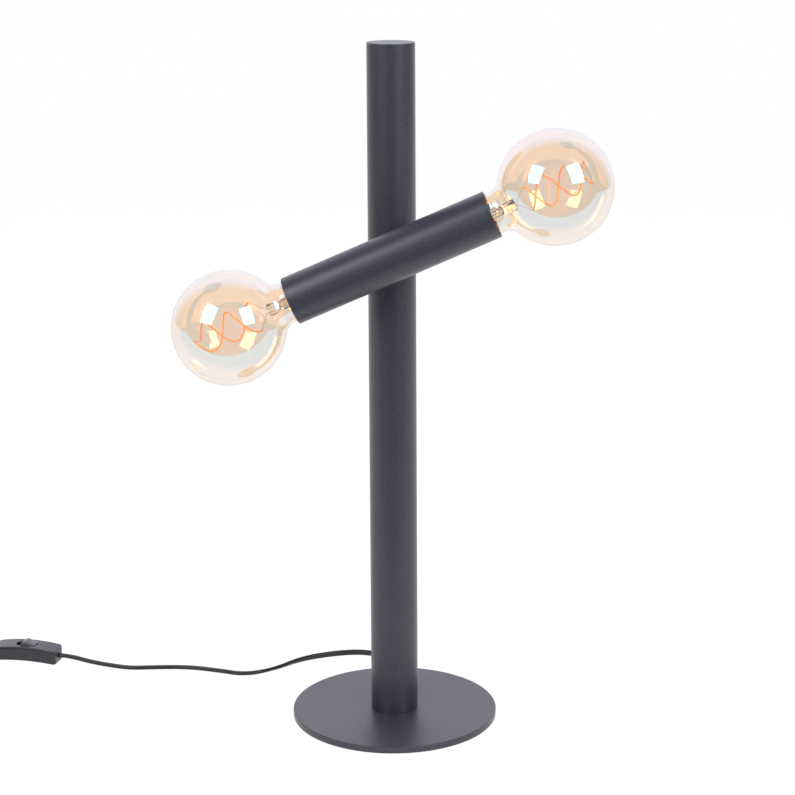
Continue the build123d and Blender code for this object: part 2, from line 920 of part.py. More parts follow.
# Plug, in its own frame with +Z out of the sleeve's tip towards the pins
def plug_body():
    tail = plug_relief_length
    face = tail + plug_body_length
    body = loft(
        [
            Pos(0, 0, tail) * RectangleRounded(plug_tail_height, plug_tail_width, plug_corner),
            Pos(0, 0, face) * RectangleRounded(plug_face_height, plug_face_width, plug_corner),
        ]
    )
    sleeve = turned((0, 0), (plug_relief_tip, 0), (plug_relief_root, tail), (0, tail))
    groove_pitch = plug_relief_length / 5
    for k in (1, 2, 3, 4):
        sleeve -= ring(plug_relief_root + 1, cord_radius + 0.7, k * groove_pitch, (k + 0.35) * groove_pitch)
    body += sleeve
    body -= column(cord_radius, 0, cord_grip)
    for sign in (-1, 1):
        place = Pos(0, sign * pin_spacing / 2, 0)
        body += place * column(pin_radius, face, face + pin_sleeve_length)
        body -= place * column(pin_radius - pin_sleeve_wall, face - pin_root, face + pin_sleeve_length)
    return body


def plug_pins():
    face = plug_relief_length + plug_body_length
    thin = pin_radius - pin_sleeve_wall
    pin = column(thin, face - pin_root, face + pin_sleeve_length)
    tip = column(pin_radius, face + pin_sleeve_length, face + pin_length)
    tip = fillet(tip.edges().group_by(Axis.Z)[-1], pin_tip_round)
    pin += tip
    return Compound([Pos(0, sign * pin_spacing / 2, 0) * pin for sign in (-1, 1)])


def build_nodes():
    """Every node of the lamp in the lamp's frame."""
    tube = pole_tube()
    lead, lead_length = cord_tube("lead", lead_route)
    tail, tail_length = cord_tube("tail", tail_route)
    coil, coil_length = cord_coil()
    end, end_length = cord_tube("end", end_route)
    total = lead_length + 2 * switch_grip + tail_length + coil_length + end_length
    print(f"cord from lamp to plug: {total:.0f}")
    nodes = {
        "base_pad": base_pad(),
        "base_plate": base_plate(),
        "base_screws": base_screws(),
        "pole_foot": pole_foot(),
        "pole_tube": tube,
        "pole_cap": pole_cap(),
        "cord_bushing": cord_bushing(tube),
        "pole_cord": pole_cord(),
        "cord_lead": lead,
        "cord_tail": tail,
        "cord_coil": coil,
        "cord_end": end,
    }
    pivot_pieces = {
        "pivot_nipple": pivot_nipple(),
        "pole_saddle": pole_saddle(),
        "pole_inner_saddle": pole_inner_saddle(),
        "pole_nut": hex_nut(pole_inner_flat - nut_thickness, pole_inner_flat),
        "friction_washer": friction_washer(),
        "disc_spring": disc_spring(),
        "arm_nut": hex_nut(arm_nut_seat, arm_nut_seat + nut_thickness),
        "arm_saddle": arm_saddle(),
        "arm_inner_saddle": arm_inner_saddle(),
        "stop_pin": stop_pin(),
    }
    for name, piece in pivot_pieces.items():
        nodes[name] = pivot_place * piece
    nodes["arm_tube"] = arm_place * arm_tube()
    for side, place in socket_place.items():
        nodes[f"{side}_bulkhead"] = place * bulkhead()
        nodes[f"{side}_holder_dome"] = place * holder_dome()
        nodes[f"{side}_holder_core"] = place * holder_core()
        nodes[f"{side}_holder_shell"] = place * holder_shell()
        nodes[f"{side}_holder_skirt"] = place * holder_skirt()
        nodes[f"{side}_holder_contact"] = place * holder_contact()
        nodes[f"{side}_wires"] = arm_place * socket_wires(side)
        nodes[f"{side}_bulb_glass"] = place * bulb_glass()
        nodes[f"{side}_bulb_cap"] = place * bulb_cap()
        nodes[f"{side}_bulb_insulator"] = place * bulb_insulator_ring()
        nodes[f"{side}_bulb_stem"] = place * bulb_stem()
        nodes[f"{side}_bulb_filament"] = place * bulb_filament(side)
        nodes[f"{side}_bulb_leads"] = Compound([place * wire for wire in bulb_leads(side)])
    nodes["holder_nipples"] = Compound([place * holder_nipple() for place in socket_place.values()])
    nut = hex_nut(bulkhead_back - nut_thickness, bulkhead_back)
    nodes["holder_nuts"] = Compound([place * nut for place in socket_place.values()])
    nodes["bulb_tips"] = Compound([place * bulb_contact_tip() for place in socket_place.values()])
    switch_pieces = {
        "switch_lid": switch_lid_shell(),
        "switch_tray": switch_tray(),
        "switch_rocker": switch_rocker(),
        "switch_contacts": switch_contacts(),
        "switch_screws": switch_screws(),
    }
    for name, piece in switch_pieces.items():
        nodes[name] = switch_frame * piece
    nodes["plug_body"] = plug_frame * plug_body()
    nodes["plug_pins"] = plug_frame * plug_pins()
    return nodes


os.makedirs("parts", exist_ok=True)
for name, shape in build_nodes().items():
    export_step(shape, f"parts/{name}.step")
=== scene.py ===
import bpy
import bmesh
import json
import math
from mathutils import Matrix, Vector


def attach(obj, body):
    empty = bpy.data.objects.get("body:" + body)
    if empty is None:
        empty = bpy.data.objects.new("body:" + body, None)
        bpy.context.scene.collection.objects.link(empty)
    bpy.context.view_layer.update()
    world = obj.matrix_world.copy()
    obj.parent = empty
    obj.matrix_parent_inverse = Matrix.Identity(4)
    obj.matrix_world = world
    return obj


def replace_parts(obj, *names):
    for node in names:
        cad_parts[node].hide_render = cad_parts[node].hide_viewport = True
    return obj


# Table lamp: powder-coated steel tubes, two amber globe bulbs, a flat cord with an in-line switch.
# Sizes are in millimetres where a name ends in _mm, and in metres elsewhere.
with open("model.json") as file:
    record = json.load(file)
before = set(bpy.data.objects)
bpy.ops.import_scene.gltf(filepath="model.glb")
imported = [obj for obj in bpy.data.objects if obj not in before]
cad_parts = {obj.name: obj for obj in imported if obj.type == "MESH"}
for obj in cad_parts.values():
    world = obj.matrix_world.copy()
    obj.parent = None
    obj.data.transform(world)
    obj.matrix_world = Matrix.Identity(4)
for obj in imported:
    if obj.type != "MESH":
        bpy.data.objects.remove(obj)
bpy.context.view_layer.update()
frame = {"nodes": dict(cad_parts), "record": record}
node = frame["nodes"]
scene = bpy.context.scene
MM = 0.001


# Materials
def tint(code):
    """An sRGB hex colour as linear RGBA."""
    parts = [int(code[k:k + 2], 16) / 255 for k in (0, 2, 4)]
    linear = [c / 12.92 if c <= 0.04045 else ((c + 0.055) / 1.055) ** 2.4 for c in parts]
    return (*linear, 1.0)


def add(tree, kind, sockets=None, **settings):
    """Adds a node, sets its properties, and sets or links its sockets."""
    made = tree.nodes.new(kind)
    for name, value in settings.items():
        setattr(made, name, value)
    for name, value in (sockets or {}).items():
        if isinstance(value, bpy.types.NodeSocket):
            tree.links.new(value, made.inputs[name])
        else:
            made.inputs[name].default_value = value
    return made


def new_material(name):
    """An empty node material with its surface shader and its output."""
    made = bpy.data.materials.new(name)
    made.use_nodes = True
    tree = made.node_tree
    tree.nodes.clear()
    surface = add(tree, "ShaderNodeBsdfPrincipled")
    add(tree, "ShaderNodeOutputMaterial", {"Surface": surface.outputs[0]})
    return made, tree, surface


def show(tree, shader):
    """Makes a shader the material's surface."""
    output = next(item for item in tree.nodes if item.type == "OUTPUT_MATERIAL")
    tree.links.new(shader.outputs[0], output.inputs["Surface"])


def mirrored_rays(tree, rays):
    """1 for a ray that a surface has already mirrored, and 0 for any other."""
    depth = {0: rays.outputs["Glossy Depth"], 1: 0.5}
    return add(tree, "ShaderNodeMath", depth, operation="GREATER_THAN").outputs[0]


def noise(tree, place, size, detail):
    """Even noise whose spots are about the given size in millimetres."""
    values = {"Vector": place, "Scale": 1 / (size * MM), "Detail": detail}
    return add(tree, "ShaderNodeTexNoise", values).outputs["Fac"]


def grain(tree, surface, size, depth, soft=0.0, share=1.0):
    """Gives the surface an even grain, and returns its fine pattern for a colour to follow.

    Its bumps have one size, in millimetres, and lie over a second softer wave."""
    place = add(tree, "ShaderNodeTexCoord").outputs["Object"]
    fine = noise(tree, place, size, 2.0)
    height = fine
    if soft:
        halves = {"Factor": 0.5, "A": fine, "B": noise(tree, place, soft, 1.0)}
        height = add(tree, "ShaderNodeMix", halves).outputs[0]
    values = {"Strength": share, "Distance": depth * MM, "Height": height}
    bump = add(tree, "ShaderNodeBump", values)
    tree.links.new(bump.outputs[0], surface.inputs["Normal"])
    return fine


def shade(tree, surface, factor, low, high, dark, light):
    """Colours the surface between two tints as a pattern goes from low to high."""
    ramp = add(tree, "ShaderNodeValToRGB", {"Fac": factor})
    ramp.color_ramp.elements[0].position = low
    ramp.color_ramp.elements[0].color = tint(dark)
    ramp.color_ramp.elements[1].position = high
    ramp.color_ramp.elements[1].color = tint(light)
    tree.links.new(ramp.outputs["Color"], surface.inputs["Base Color"])


def powder_coat():
    """Polyester powder coat, baked on steel: a fine even grain that scatters a broad soft sheen.

    The real grain is about 0.3 mm; it is drawn coarser, so that it shows at the size of the
    photograph."""
    made, tree, surface = new_material("anthracite_powder_coat")
    speck = grain(tree, surface, 1.1, 0.06, soft=2.6, share=0.8)
    shade(tree, surface, speck, 0.35, 0.65, "1e1e2a", "343445")
    surface.inputs["Roughness"].default_value = 0.48
    surface.inputs["Specular IOR Level"].default_value = 0.75
    surface.inputs["Coat Weight"].default_value = 0.65
    surface.inputs["Coat IOR"].default_value = 1.30
    surface.inputs["Coat Roughness"].default_value = 0.33
    return made


def moulded_plastic(name, dark, light, roughness, size=0.5, depth=0.02, gloss=0.5, skin=0.0):
    """Injection-moulded plastic with the fine spark-eroded grain of its mould."""
    made, tree, surface = new_material(name)
    speck = grain(tree, surface, size, depth, soft=size * 8, share=0.5)
    shade(tree, surface, speck, 0.25, 0.75, dark, light)
    surface.inputs["Roughness"].default_value = roughness
    surface.inputs["Specular IOR Level"].default_value = gloss
    if skin:
        surface.inputs["Coat Weight"].default_value = skin
        surface.inputs["Coat IOR"].default_value = 1.30
        surface.inputs["Coat Roughness"].default_value = 0.25
    return made


def turned_metal(name, dark, light, roughness, size=0.25, depth=0.006):
    """Bare or plated metal whose fine tool marks blur what it mirrors."""
    made, tree, surface = new_material(name)
    speck = grain(tree, surface, size, depth, soft=size * 10, share=0.4)
    shade(tree, surface, speck, 0.2, 0.8, dark, light)
    surface.inputs["Metallic"].default_value = 1.0
    surface.inputs["Roughness"].default_value = roughness
    return made


glass_ior = 1.5
film_ior = 2.3


def blown_glass(name, code, shadow, film_nm=0.0):
    """Blown glass, faintly wavy.

    A lustre film on its outer skin sends blue back and lets amber through."""
    made, tree, surface = new_material(name)
    grain(tree, surface, 22.0, 0.05, share=0.25)
    surface.inputs["Base Color"].default_value = tint(code)
    surface.inputs["Transmission Weight"].default_value = 1.0
    surface.inputs["Roughness"].default_value = 0.0
    surface.inputs["IOR"].default_value = glass_ior
    if film_nm:
        skin = add(tree, "ShaderNodeAttribute", attribute_name="outer_skin")
        depth = {0: skin.outputs["Fac"], 1: film_nm}
        film = add(tree, "ShaderNodeMath", depth, operation="MULTIPLY")
        tree.links.new(film.outputs[0], surface.inputs["Thin Film Thickness"])
        surface.inputs["Thin Film IOR"].default_value = film_ior
    rays = add(tree, "ShaderNodeLightPath")
    clear = add(tree, "ShaderNodeBsdfTransparent", {"Color": tint(shadow)})
    both = add(tree, "ShaderNodeMixShader", {
        "Fac": rays.outputs["Is Shadow Ray"], 1: surface.outputs[0], 2: clear.outputs[0],
    })
    show(tree, both)
    return made


chip_apart_mm = 1.6


def phosphor():
    """Soft silicone loaded with orange phosphor, over tiny chips that show as paler dots."""
    made, tree, surface = new_material("orange_phosphor_silicone")
    place = add(tree, "ShaderNodeTexCoord").outputs["Object"]
    chips = add(tree, "ShaderNodeTexVoronoi", {"Vector": place, "Scale": 1 / (chip_apart_mm * MM)})
    shade(tree, surface, chips.outputs["Distance"], 0.15, 0.6, "f6b468", "e68f3c")
    surface.inputs["Roughness"].default_value = 0.45
    return made


finish = {
    # pole, arm and base: near black with a blue cast, and a satin bloom where the light grazes them
    "powder_coat": powder_coat(),
    # screws, nuts and saddles: pale grey plating that blurs what it mirrors
    "plain_steel": turned_metal("zinc_plated_steel", "8f9196", "b4b6ba", 0.32),
    # the disc spring: darker and bluer than the plating beside it
    "spring_steel": turned_metal("blued_spring_steel", "4b4e58", "686c78", 0.30),
    # the pad: black foam with open pores; its dead black also stands in as painted shade under the
    # plate's edge, so that the base seems to float on a thin shadow
    "foot_pad": moulded_plastic(
        "black_foam_pad_and_painted_shade", "101012", "1d1d20", 0.85, size=1.2, depth=0.15,
    ),
    # the bushing: plain black nylon, a little glossier than the cord that it holds
    "bushing_plastic": moulded_plastic("black_nylon", "161618", "202023", 0.42),
    # the friction washer: milky white nylon
    "washer_plastic": moulded_plastic("natural_nylon", "cfcdc2", "dddbd2", 0.40),
    # the cord: soft dark grey with a fine line of light along each of its two cores
    "cord_sheath": moulded_plastic(
        "dark_grey_cord_pvc", "19181b", "222124", 0.42, size=0.8, depth=0.03,
    ),
    # the switch: dark grey, dull from the front, and paler where its top is seen at a low angle
    "switch_plastic": moulded_plastic(
        "dark_grey_switch_abs", "323137", "3d3c42", 0.40,
        size=0.6, depth=0.03, gloss=0.28, skin=0.55,
    ),
    # the rocker: the same plastic from a polished mould, glossier than the case round it; its paler
    # tint is painted light, for the light that its raised faces catch
    "rocker_plastic": moulded_plastic(
        "polished_grey_switch_abs_painted_paler", "4a4952", "55545d", 0.30,
        size=0.6, depth=0.01, gloss=0.45, skin=0.55,
    ),
    # the switch's contacts: warm bare brass, seen only through the slot
    "contact_brass": turned_metal("bare_brass_strip", "b08d4a", "c9a663", 0.30),
    # the plug: the cord's grey, a little duller
    "plug_plastic": moulded_plastic(
        "dark_grey_plug_pvc", "29282b", "333236", 0.50, size=0.8, depth=0.03,
    ),
    # the plug's pins: bright plating with a warm edge
    "pin_brass": turned_metal("nickel_plated_brass", "b9b5ab", "d2cec4", 0.18),
    # the lampholders: hard glossy black inside the arm's mouths
    "holder_black": moulded_plastic("black_phenolic", "121214", "1b1b1d", 0.25),
    # the holders' cores: glazed white, the only light piece inside the tube
    "holder_ceramic": moulded_plastic(
        "white_glazed_ceramic", "dcdad2", "e8e6df", 0.18, size=3.0, depth=0.03,
    ),
    # the threaded shells: thin rolled metal, slightly yellow
    "shell_nickel": turned_metal("rolled_nickel_shell", "a79f8a", "c4bca6", 0.28),
    # the globes: clear amber in the middle, where the film's blue mirror faces the dark room, and
    # a pale ring outside it, where the film sends back the white surroundings
    "bulb_tube_glass": blown_glass("amber_lustre_glass", "fff6ec", "f6e6d0", film_nm=147.0),
    # the stems: colourless glass, seen by its glints
    "stem_glass": blown_glass("clear_stem_glass", "f6f6f2", "f6f6f2"),
    # the bulbs' screw caps: pale grey metal with a low shine
    "cap_metal": turned_metal("rolled_nickel_cap", "a9a69f", "cac7c0", 0.25),
    # the glass between cap and tip: black and very glossy
    "cap_insulator": moulded_plastic("black_cap_glass", "0d0d10", "161619", 0.12),
    # the wires inside the bulb: fine and warm, hardly darker than the glass behind them
    "lead_metal": turned_metal("bare_lead_wire", "b79a72", "d2b58a", 0.25),
    # the light strands: matt orange threads with paler dots, unlit
    "filament_phosphor": phosphor(),
    # the wires in the tubes: soft grey silicone
    "wire_sheath": moulded_plastic("silicone_wire_sheath", "8d8a82", "a09d95", 0.55),
}
for name, piece in node.items():
    slot_name = next(
        row["material_slot"] for row in frame["record"]["subparts"] if row["node"] == name
    )
    piece.data.materials.clear()
    piece.data.materials.append(finish[slot_name])


# Meshes
def new_object(name, data):
    """An object in the scene that shows the data given."""
    made = bpy.data.objects.new(name, data)
    scene.collection.objects.link(made)
    return made


def mesh_piece(name, mesh, body, slot, place, smooth=40.0):
    """A finished piece from a bmesh: placed in the lamp's frame, shaded smooth below an angle in
    degrees, and riding on its body."""
    bmesh.ops.transform(mesh, matrix=place, verts=mesh.verts)
    bmesh.ops.remove_doubles(mesh, verts=mesh.verts, dist=1e-7)
    bmesh.ops.recalc_face_normals(mesh, faces=mesh.faces)
    sharp = math.radians(smooth)
    for face in mesh.faces:
        face.smooth = True
    for edge in mesh.edges:
        edge.smooth = len(edge.link_faces) == 2 and edge.calc_face_angle(0.0) < sharp
    data = bpy.data.meshes.new(name)
    mesh.to_mesh(data)
    mesh.free()
    made = new_object(name, data)
    data.materials.append(finish[slot])
    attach(made, body)
    return made


def lathe(outline, steps, marked=0):
    """Spins an open outline of (radius, height) points in millimetres about Z.

    The first marked points give the outer_skin attribute a value of 1."""
    mesh = bmesh.new()
    skin = mesh.verts.layers.float.new("outer_skin") if marked else None
    rim = [mesh.verts.new((radius * MM, 0, height * MM)) for radius, height in outline]
    for vert in rim[:marked]:
        vert[skin] = 1.0
    edges = [mesh.edges.new(pair) for pair in zip(rim, rim[1:])]
    bmesh.ops.spin(
        mesh, geom=rim + edges, cent=(0, 0, 0), axis=(0, 0, 1),
        angle=math.tau, steps=steps, use_merge=True,
    )
    return mesh


def arc(middle, radius, start, end, steps):
    """Points of an arc in an outline; angles in degrees from the radial direction."""
    angles = [math.radians(start + (end - start) * k / steps) for k in range(steps + 1)]
    return [(middle[0] + radius * math.cos(a), middle[1] + radius * math.sin(a)) for a in angles]


def turn(degrees, axis):
    """A turn about an axis through the origin."""
    return Matrix.Rotation(math.radians(degrees), 4, axis)


def shift(x, y, z):
    """A move in millimetres."""
    return Matrix.Translation((x * MM, y * MM, z * MM))


# Places of the assemblies, as in the part's source
pivot_height_mm = 409.5
arm_offset_mm = 44.0
arm_tilt = 23.5
pivot_place = shift(0, 0, pivot_height_mm) @ turn(90, "X")
arm_place = pivot_place @ shift(0, 0, arm_offset_mm) @ turn(arm_tilt, "Z")
socket_place = {"left": arm_place @ turn(-90, "Y"), "right": arm_place @ turn(90, "Y")}


# Bulbs
globe_radius_mm = 47.5
globe_reach_mm = 144.5
globe_steps = 64
throat_steps = 12
glass_wall_mm = 0.9
neck_radius_mm = 17.2
neck_blend_mm = 12.0
neck_flare_mm = 6.0
cap_top_mm = 80.0
neck_root_mm = 68.0
neck_root_radius_mm = 12.4


def glass_outline(wall):
    """One skin of the bulb's glass, from the far end of the globe back to the root of the neck."""
    span = globe_radius_mm + neck_blend_mm
    blend_r = neck_radius_mm + neck_blend_mm
    blend_z = globe_reach_mm - math.sqrt(span**2 - blend_r**2)
    lean = math.degrees(math.acos(blend_r / span))
    globe = arc((0, globe_reach_mm), globe_radius_mm - wall, 90, -lean, globe_steps)
    throat = arc((blend_r, blend_z), neck_blend_mm + wall, 180 - lean, 180, throat_steps)
    neck = neck_radius_mm - wall
    root = neck_root_radius_mm - wall
    shoulder = [(neck, cap_top_mm + neck_flare_mm), (root, cap_top_mm), (root, neck_root_mm)]
    return globe + throat[1:] + shoulder


def bulb_glass(side):
    """The blown shell with both its skins; the outer one carries the lustre film."""
    outer = glass_outline(0)
    inner = glass_outline(glass_wall_mm)
    mesh = lathe(outer + inner[::-1], steps=128, marked=len(outer))
    return mesh_piece(
        f"{side}_globe", mesh, "arm", "bulb_tube_glass", socket_place[side], smooth=60,
    )


stem_radius_mm = 4.2
stem_wall_mm = 0.9
stem_reach_mm = 109.5
stem_press_mm = 9.0
stem_ring_mm = 4.0
stem_flare_mm = 12.0
flare_waist = 0.45
flare_swell_mm = 1.5
flare_rim_gap_mm = 1.6
flare_rim_mm = 1.2
press_widening = 1.3
press_thinning = 0.45
press_blend_mm = 5.0
post_stand_mm = 1.5
post_foot_mm = 2.0
filament_radius_mm = 0.62
filament_coil_mm = 12.65
filament_pitch_mm = 40.4
filament_start_mm = 120.6
filament_end_mm = 173.2
filament_phase = {"left": 119.8, "right": -33.3}
wire_radius_mm = 0.14
post_radius_mm = 0.20
post_apart_mm = 3.4
# how far the strands have turned at their feet, so that the press lies along the two posts
press_bearing = math.tau * (filament_start_mm - globe_reach_mm) / filament_pitch_mm


def strand_point(strand, height, side):
    """A point of one light strand's axis, in the bulb's own frame."""
    turned = 360 * (height - globe_reach_mm) / filament_pitch_mm
    bearing = math.radians(filament_phase[side] + 180 * strand + turned)
    across = Vector((math.cos(bearing), math.sin(bearing), 0)) * filament_coil_mm
    return across + Vector((0, 0, height))


def bulb_strands(side, steps=72):
    """Both strands of the double helix: a small disc swept round the bulb's axis as it climbs."""
    mesh = bmesh.new()
    turned = math.tau * (filament_end_mm - filament_start_mm) / filament_pitch_mm
    climb = (filament_end_mm - filament_start_mm) / steps
    slope = math.atan2(filament_pitch_mm, math.tau * filament_coil_mm)
    for strand in (0, 1):
        foot = strand_point(strand, filament_start_mm, side)
        bearing = math.atan2(foot.y, foot.x)
        place = (
            Matrix.Rotation(bearing, 4, "Z") @ shift(filament_coil_mm, 0, filament_start_mm)
            @ Matrix.Rotation(slope, 4, "X") @ turn(-90, "X")
        )
        disc = bmesh.ops.create_circle(
            mesh, cap_ends=True, segments=12, radius=filament_radius_mm * MM, matrix=place,
        )
        rim = disc["verts"]
        face = list(rim[0].link_faces)
        bmesh.ops.spin(
            mesh, geom=rim + face + list(face[0].edges), cent=(0, 0, 0), axis=(0, 0, 1),
            dvec=(0, 0, climb * MM), angle=turned, steps=steps,
        )
    return mesh_piece(
        f"{side}_light_strands", mesh, "arm", "filament_phosphor", socket_place[side],
    )


def wire(mesh, start, end, radius):
    """A straight round wire between two points in millimetres."""
    along = Vector(end) - Vector(start)
    middle = (Vector(start) + Vector(end)) / 2
    place = shift(*middle) @ along.to_track_quat("Z", "Y").to_matrix().to_4x4()
    bmesh.ops.create_cone(
        mesh, cap_ends=True, segments=10, radius1=radius * MM, radius2=radius * MM,
        depth=along.length * MM, matrix=place,
    )


def stem_wires(side):
    """Two posts through the stem's press, a fine wire from each post to its strand, and one wire
    across the strands' far ends."""
    mesh = bmesh.new()
    for strand in (0, 1):
        foot = strand_point(strand, filament_start_mm, side)
        share = post_apart_mm / 2 / filament_coil_mm
        top = Vector((foot.x * share, foot.y * share, stem_reach_mm + post_stand_mm))
        wire(mesh, (top.x, top.y, neck_root_mm + post_foot_mm), top, post_radius_mm)
        wire(mesh, top, foot, wire_radius_mm)
    far = [strand_point(strand, filament_end_mm, side) for strand in (0, 1)]
    wire(mesh, far[0], far[1], wire_radius_mm)
    return mesh_piece(f"{side}_stem_wires", mesh, "arm", "lead_metal", socket_place[side])


def bulb_stem(side):
    """The glass stem: a flared tube, melted shut and pinched flat round the two posts."""
    inner = stem_radius_mm - stem_wall_mm
    root = neck_root_mm + stem_wall_mm
    flare = root + stem_flare_mm
    waist = root + flare_waist * stem_flare_mm
    rim = neck_root_radius_mm - flare_rim_gap_mm
    press = stem_reach_mm - stem_press_mm
    # the outside, from the rounded far end down to the flare's rim
    outer = [(0, stem_reach_mm), (stem_radius_mm * 0.75, stem_reach_mm)]
    outer += [(stem_radius_mm, stem_reach_mm - 1.0)]
    outer += [(stem_radius_mm, press - stem_ring_mm * k) for k in range(3)]
    outer += [(stem_radius_mm, flare), (stem_radius_mm + flare_swell_mm, waist), (rim, root)]
    # the hollow, back up to where the tube is melted shut
    hollow = [(rim - flare_rim_mm, root), (inner + 1.3, waist), (inner, flare)]
    hollow += [(inner, press - stem_ring_mm), (inner * 0.6, press - 1.5), (0, press - 0.8)]
    mesh = lathe(outer + hollow, steps=48)
    bearing = Matrix.Rotation(math.radians(filament_phase[side]) + press_bearing, 3, "Z")
    for vert in mesh.verts:
        share = min(1.0, max(0.0, (vert.co.z / MM - press) / press_blend_mm))
        wide = 1 + (press_widening - 1) * share
        thin = 1 + (press_thinning - 1) * share
        vert.co = bearing @ Vector((vert.co.x * wide, vert.co.y * thin, vert.co.z))
    return mesh_piece(f"{side}_stem", mesh, "arm", "stem_glass", socket_place[side], smooth=50)


for side in ("left", "right"):
    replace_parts(bulb_glass(side), f"{side}_bulb_glass")
    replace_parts(bulb_stem(side), f"{side}_bulb_stem")
    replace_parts(bulb_strands(side), f"{side}_bulb_filament")
    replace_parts(stem_wires(side), f"{side}_bulb_leads")


# Cords
cord_width_mm = 5.2
cord_core_mm = 3.2
cord_high_mm = cord_width_mm / 2
cord_low_mm = cord_core_mm / 2
switch_place_mm = (-341.8, 123.8)
switch_length_mm = 61.4
switch_turn = -12.1
switch_cord_height_mm = 6.0
switch_cord_lift_mm = 15.0


def switch_point(along, height):
    """A point of the switch's long axis, in the lamp's frame."""
    bearing = math.radians(switch_turn)
    x = switch_place_mm[0] + along * math.cos(bearing)
    y = switch_place_mm[1] + along * math.sin(bearing)
    return (x, y, height)


switch_height_mm = 15.0
rocker_half_mm = 10.0
rocker_width_mm = 11.2
rocker_pivot_mm = 10.4
rocker_tilt = 14.0
rocker_round_mm = 0.45
rocker_end_drop_mm = 2.0
rocker_crest_half_mm = 2.6
rocker_crest_rise_mm = 2.3
rocker_dish_mm = 0.5
rocker_crest_swell_mm = 0.7
rocker_foot_inset_mm = 1.4
rocker_foot_drop_mm = 6.0


def dip(start, end, depth, steps=6):
    """Points of a shallow curve between two points, which sags by depth at its middle."""
    points = []
    for k in range(steps + 1):
        share = k / steps
        x = start[0] + (end[0] - start[0]) * share
        z = start[1] + (end[1] - start[1]) * share - 4 * depth * share * (1 - share)
        points.append((x, z))
    return points


def switch_rocker():
    """The rocker: two dished faces that meet in a rounded crest, its left one pressed down."""
    top = switch_height_mm
    end = (rocker_half_mm, top - rocker_end_drop_mm)
    crest = (rocker_crest_half_mm, top + rocker_crest_rise_mm)
    right = dip(end, crest, rocker_dish_mm)
    over = dip(crest, (-crest[0], crest[1]), -rocker_crest_swell_mm)
    left = [(-x, z) for x, z in right[::-1]]
    foot_x, foot_z = rocker_half_mm - rocker_foot_inset_mm, top - rocker_foot_drop_mm
    foot = [(-foot_x, foot_z), (foot_x, foot_z)]
    outline = right + over[1:-1] + left + foot
    mesh = bmesh.new()
    front = -rocker_width_mm / 2 * MM
    rim = [mesh.verts.new((x * MM, front, z * MM)) for x, z in outline]
    face = mesh.faces.new(rim)
    grown = bmesh.ops.extrude_face_region(mesh, geom=[face])
    moved = [item for item in grown["geom"] if isinstance(item, bmesh.types.BMVert)]
    bmesh.ops.translate(mesh, verts=moved, vec=(0, rocker_width_mm * MM, 0))
    level = 1e-7
    sides = [edge for edge in mesh.edges if abs(edge.verts[0].co.y - edge.verts[1].co.y) < level]
    bmesh.ops.bevel(
        mesh, geom=sides, offset=rocker_round_mm * MM, segments=3, profile=0.5,
        affect="EDGES", material=-1, clamp_overlap=True,
    )
    place = (
        shift(*switch_place_mm, rocker_pivot_mm) @ turn(switch_turn, "Z") @ turn(-rocker_tilt, "Y")
        @ shift(0, 0, -rocker_pivot_mm)
    )
    made = mesh_piece("switch_rocker_cap", mesh, "rocker", "switch_plastic", place)
    # the rocker wears the paler copy of the case's plastic: a painted lighter tone, not a colour of
    # its own
    made.data.materials[0] = finish["rocker_plastic"]
    return made


rocker_piece = switch_rocker()
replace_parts(rocker_piece, "switch_rocker")


core_points = 9
core_step = 26.0


def flat_cord_section():
    """The cord's outline: two round cores side by side with a shallow groove between them."""
    data = bpy.data.curves.new("cord_section", "CURVE")
    data.dimensions = "2D"
    core = cord_core_mm / 2
    apart = cord_width_mm / 2 - core
    points = []
    for side in (1, -1):
        for k in range(core_points):
            angle = math.radians(core_step * (k - core_points // 2))
            x = side * (apart + core * math.cos(angle))
            points.append((x, side * core * math.sin(angle)))
    line = data.splines.new("POLY")
    line.points.add(len(points) - 1)
    for point, (x, y) in zip(line.points, points):
        point.co = (x * MM, y * MM, 0, 1)
    line.use_cyclic_u = True
    made = new_object("cord_section", data)
    made.hide_render = True
    made.hide_viewport = True
    return made


cord_section = flat_cord_section()


def flat_cord(name, route, lean):
    """A cord along its route; lean is each point's turn in degrees, 0 flat and 90 on edge."""
    data = bpy.data.curves.new(name, "CURVE")
    data.dimensions = "3D"
    data.twist_mode = "Z_UP"
    data.resolution_u = 12
    data.bevel_mode = "OBJECT"
    data.bevel_object = cord_section
    data.use_fill_caps = True
    line = data.splines.new("NURBS")
    line.points.add(len(route) - 1)
    for point, (x, y, z), angle in zip(line.points, route, lean):
        point.co = (x * MM, y * MM, z * MM, 1)
        point.tilt = math.radians(angle)
    line.order_u = 3
    line.use_endpoint_u = True
    made = new_object(name, data)
    data.materials.append(finish["cord_sheath"])
    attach(made, "stand")
    return made


exit_height_mm = 19.0
bushing_tip_mm = 42.8
cord_grip_mm = 4.0
switch_grip_mm = switch_length_mm / 2 - cord_grip_mm

lead_route = [
    (0.0, bushing_tip_mm - cord_grip_mm, exit_height_mm),
    (0.0, 60.0, exit_height_mm),
    (-1.0, 82.0, 16.5),
    (-4.0, 103.0, 9.5),
    (-14.0, 123.0, 3.8),
    (-34.0, 134.0, cord_high_mm),
    (-62.0, 128.5, cord_high_mm),
    (-88.0, 116.0, cord_high_mm),
    (-111.0, 92.5, 2.2),
    (-136.5, 80.5, 1.8),
    (-161.0, 90.5, cord_low_mm),
    (-190.0, 99.0, cord_low_mm),
    (-221.0, 98.5, cord_low_mm),
    (-243.0, 96.5, cord_low_mm),
    (-264.0, 104.0, cord_low_mm),
    (-283.0, 111.0, 2.4),
    switch_point(switch_grip_mm + switch_cord_lift_mm, switch_cord_height_mm),
    switch_point(switch_grip_mm, switch_cord_height_mm),
]
lead_lean = [0, 10, 35, 60, 85, 90, 90, 70, 25, 0, 0, 0, 0, 0, 0, 0, 0, 0]
lead = flat_cord("cord_to_switch", lead_route, lead_lean)
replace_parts(lead, "cord_lead")

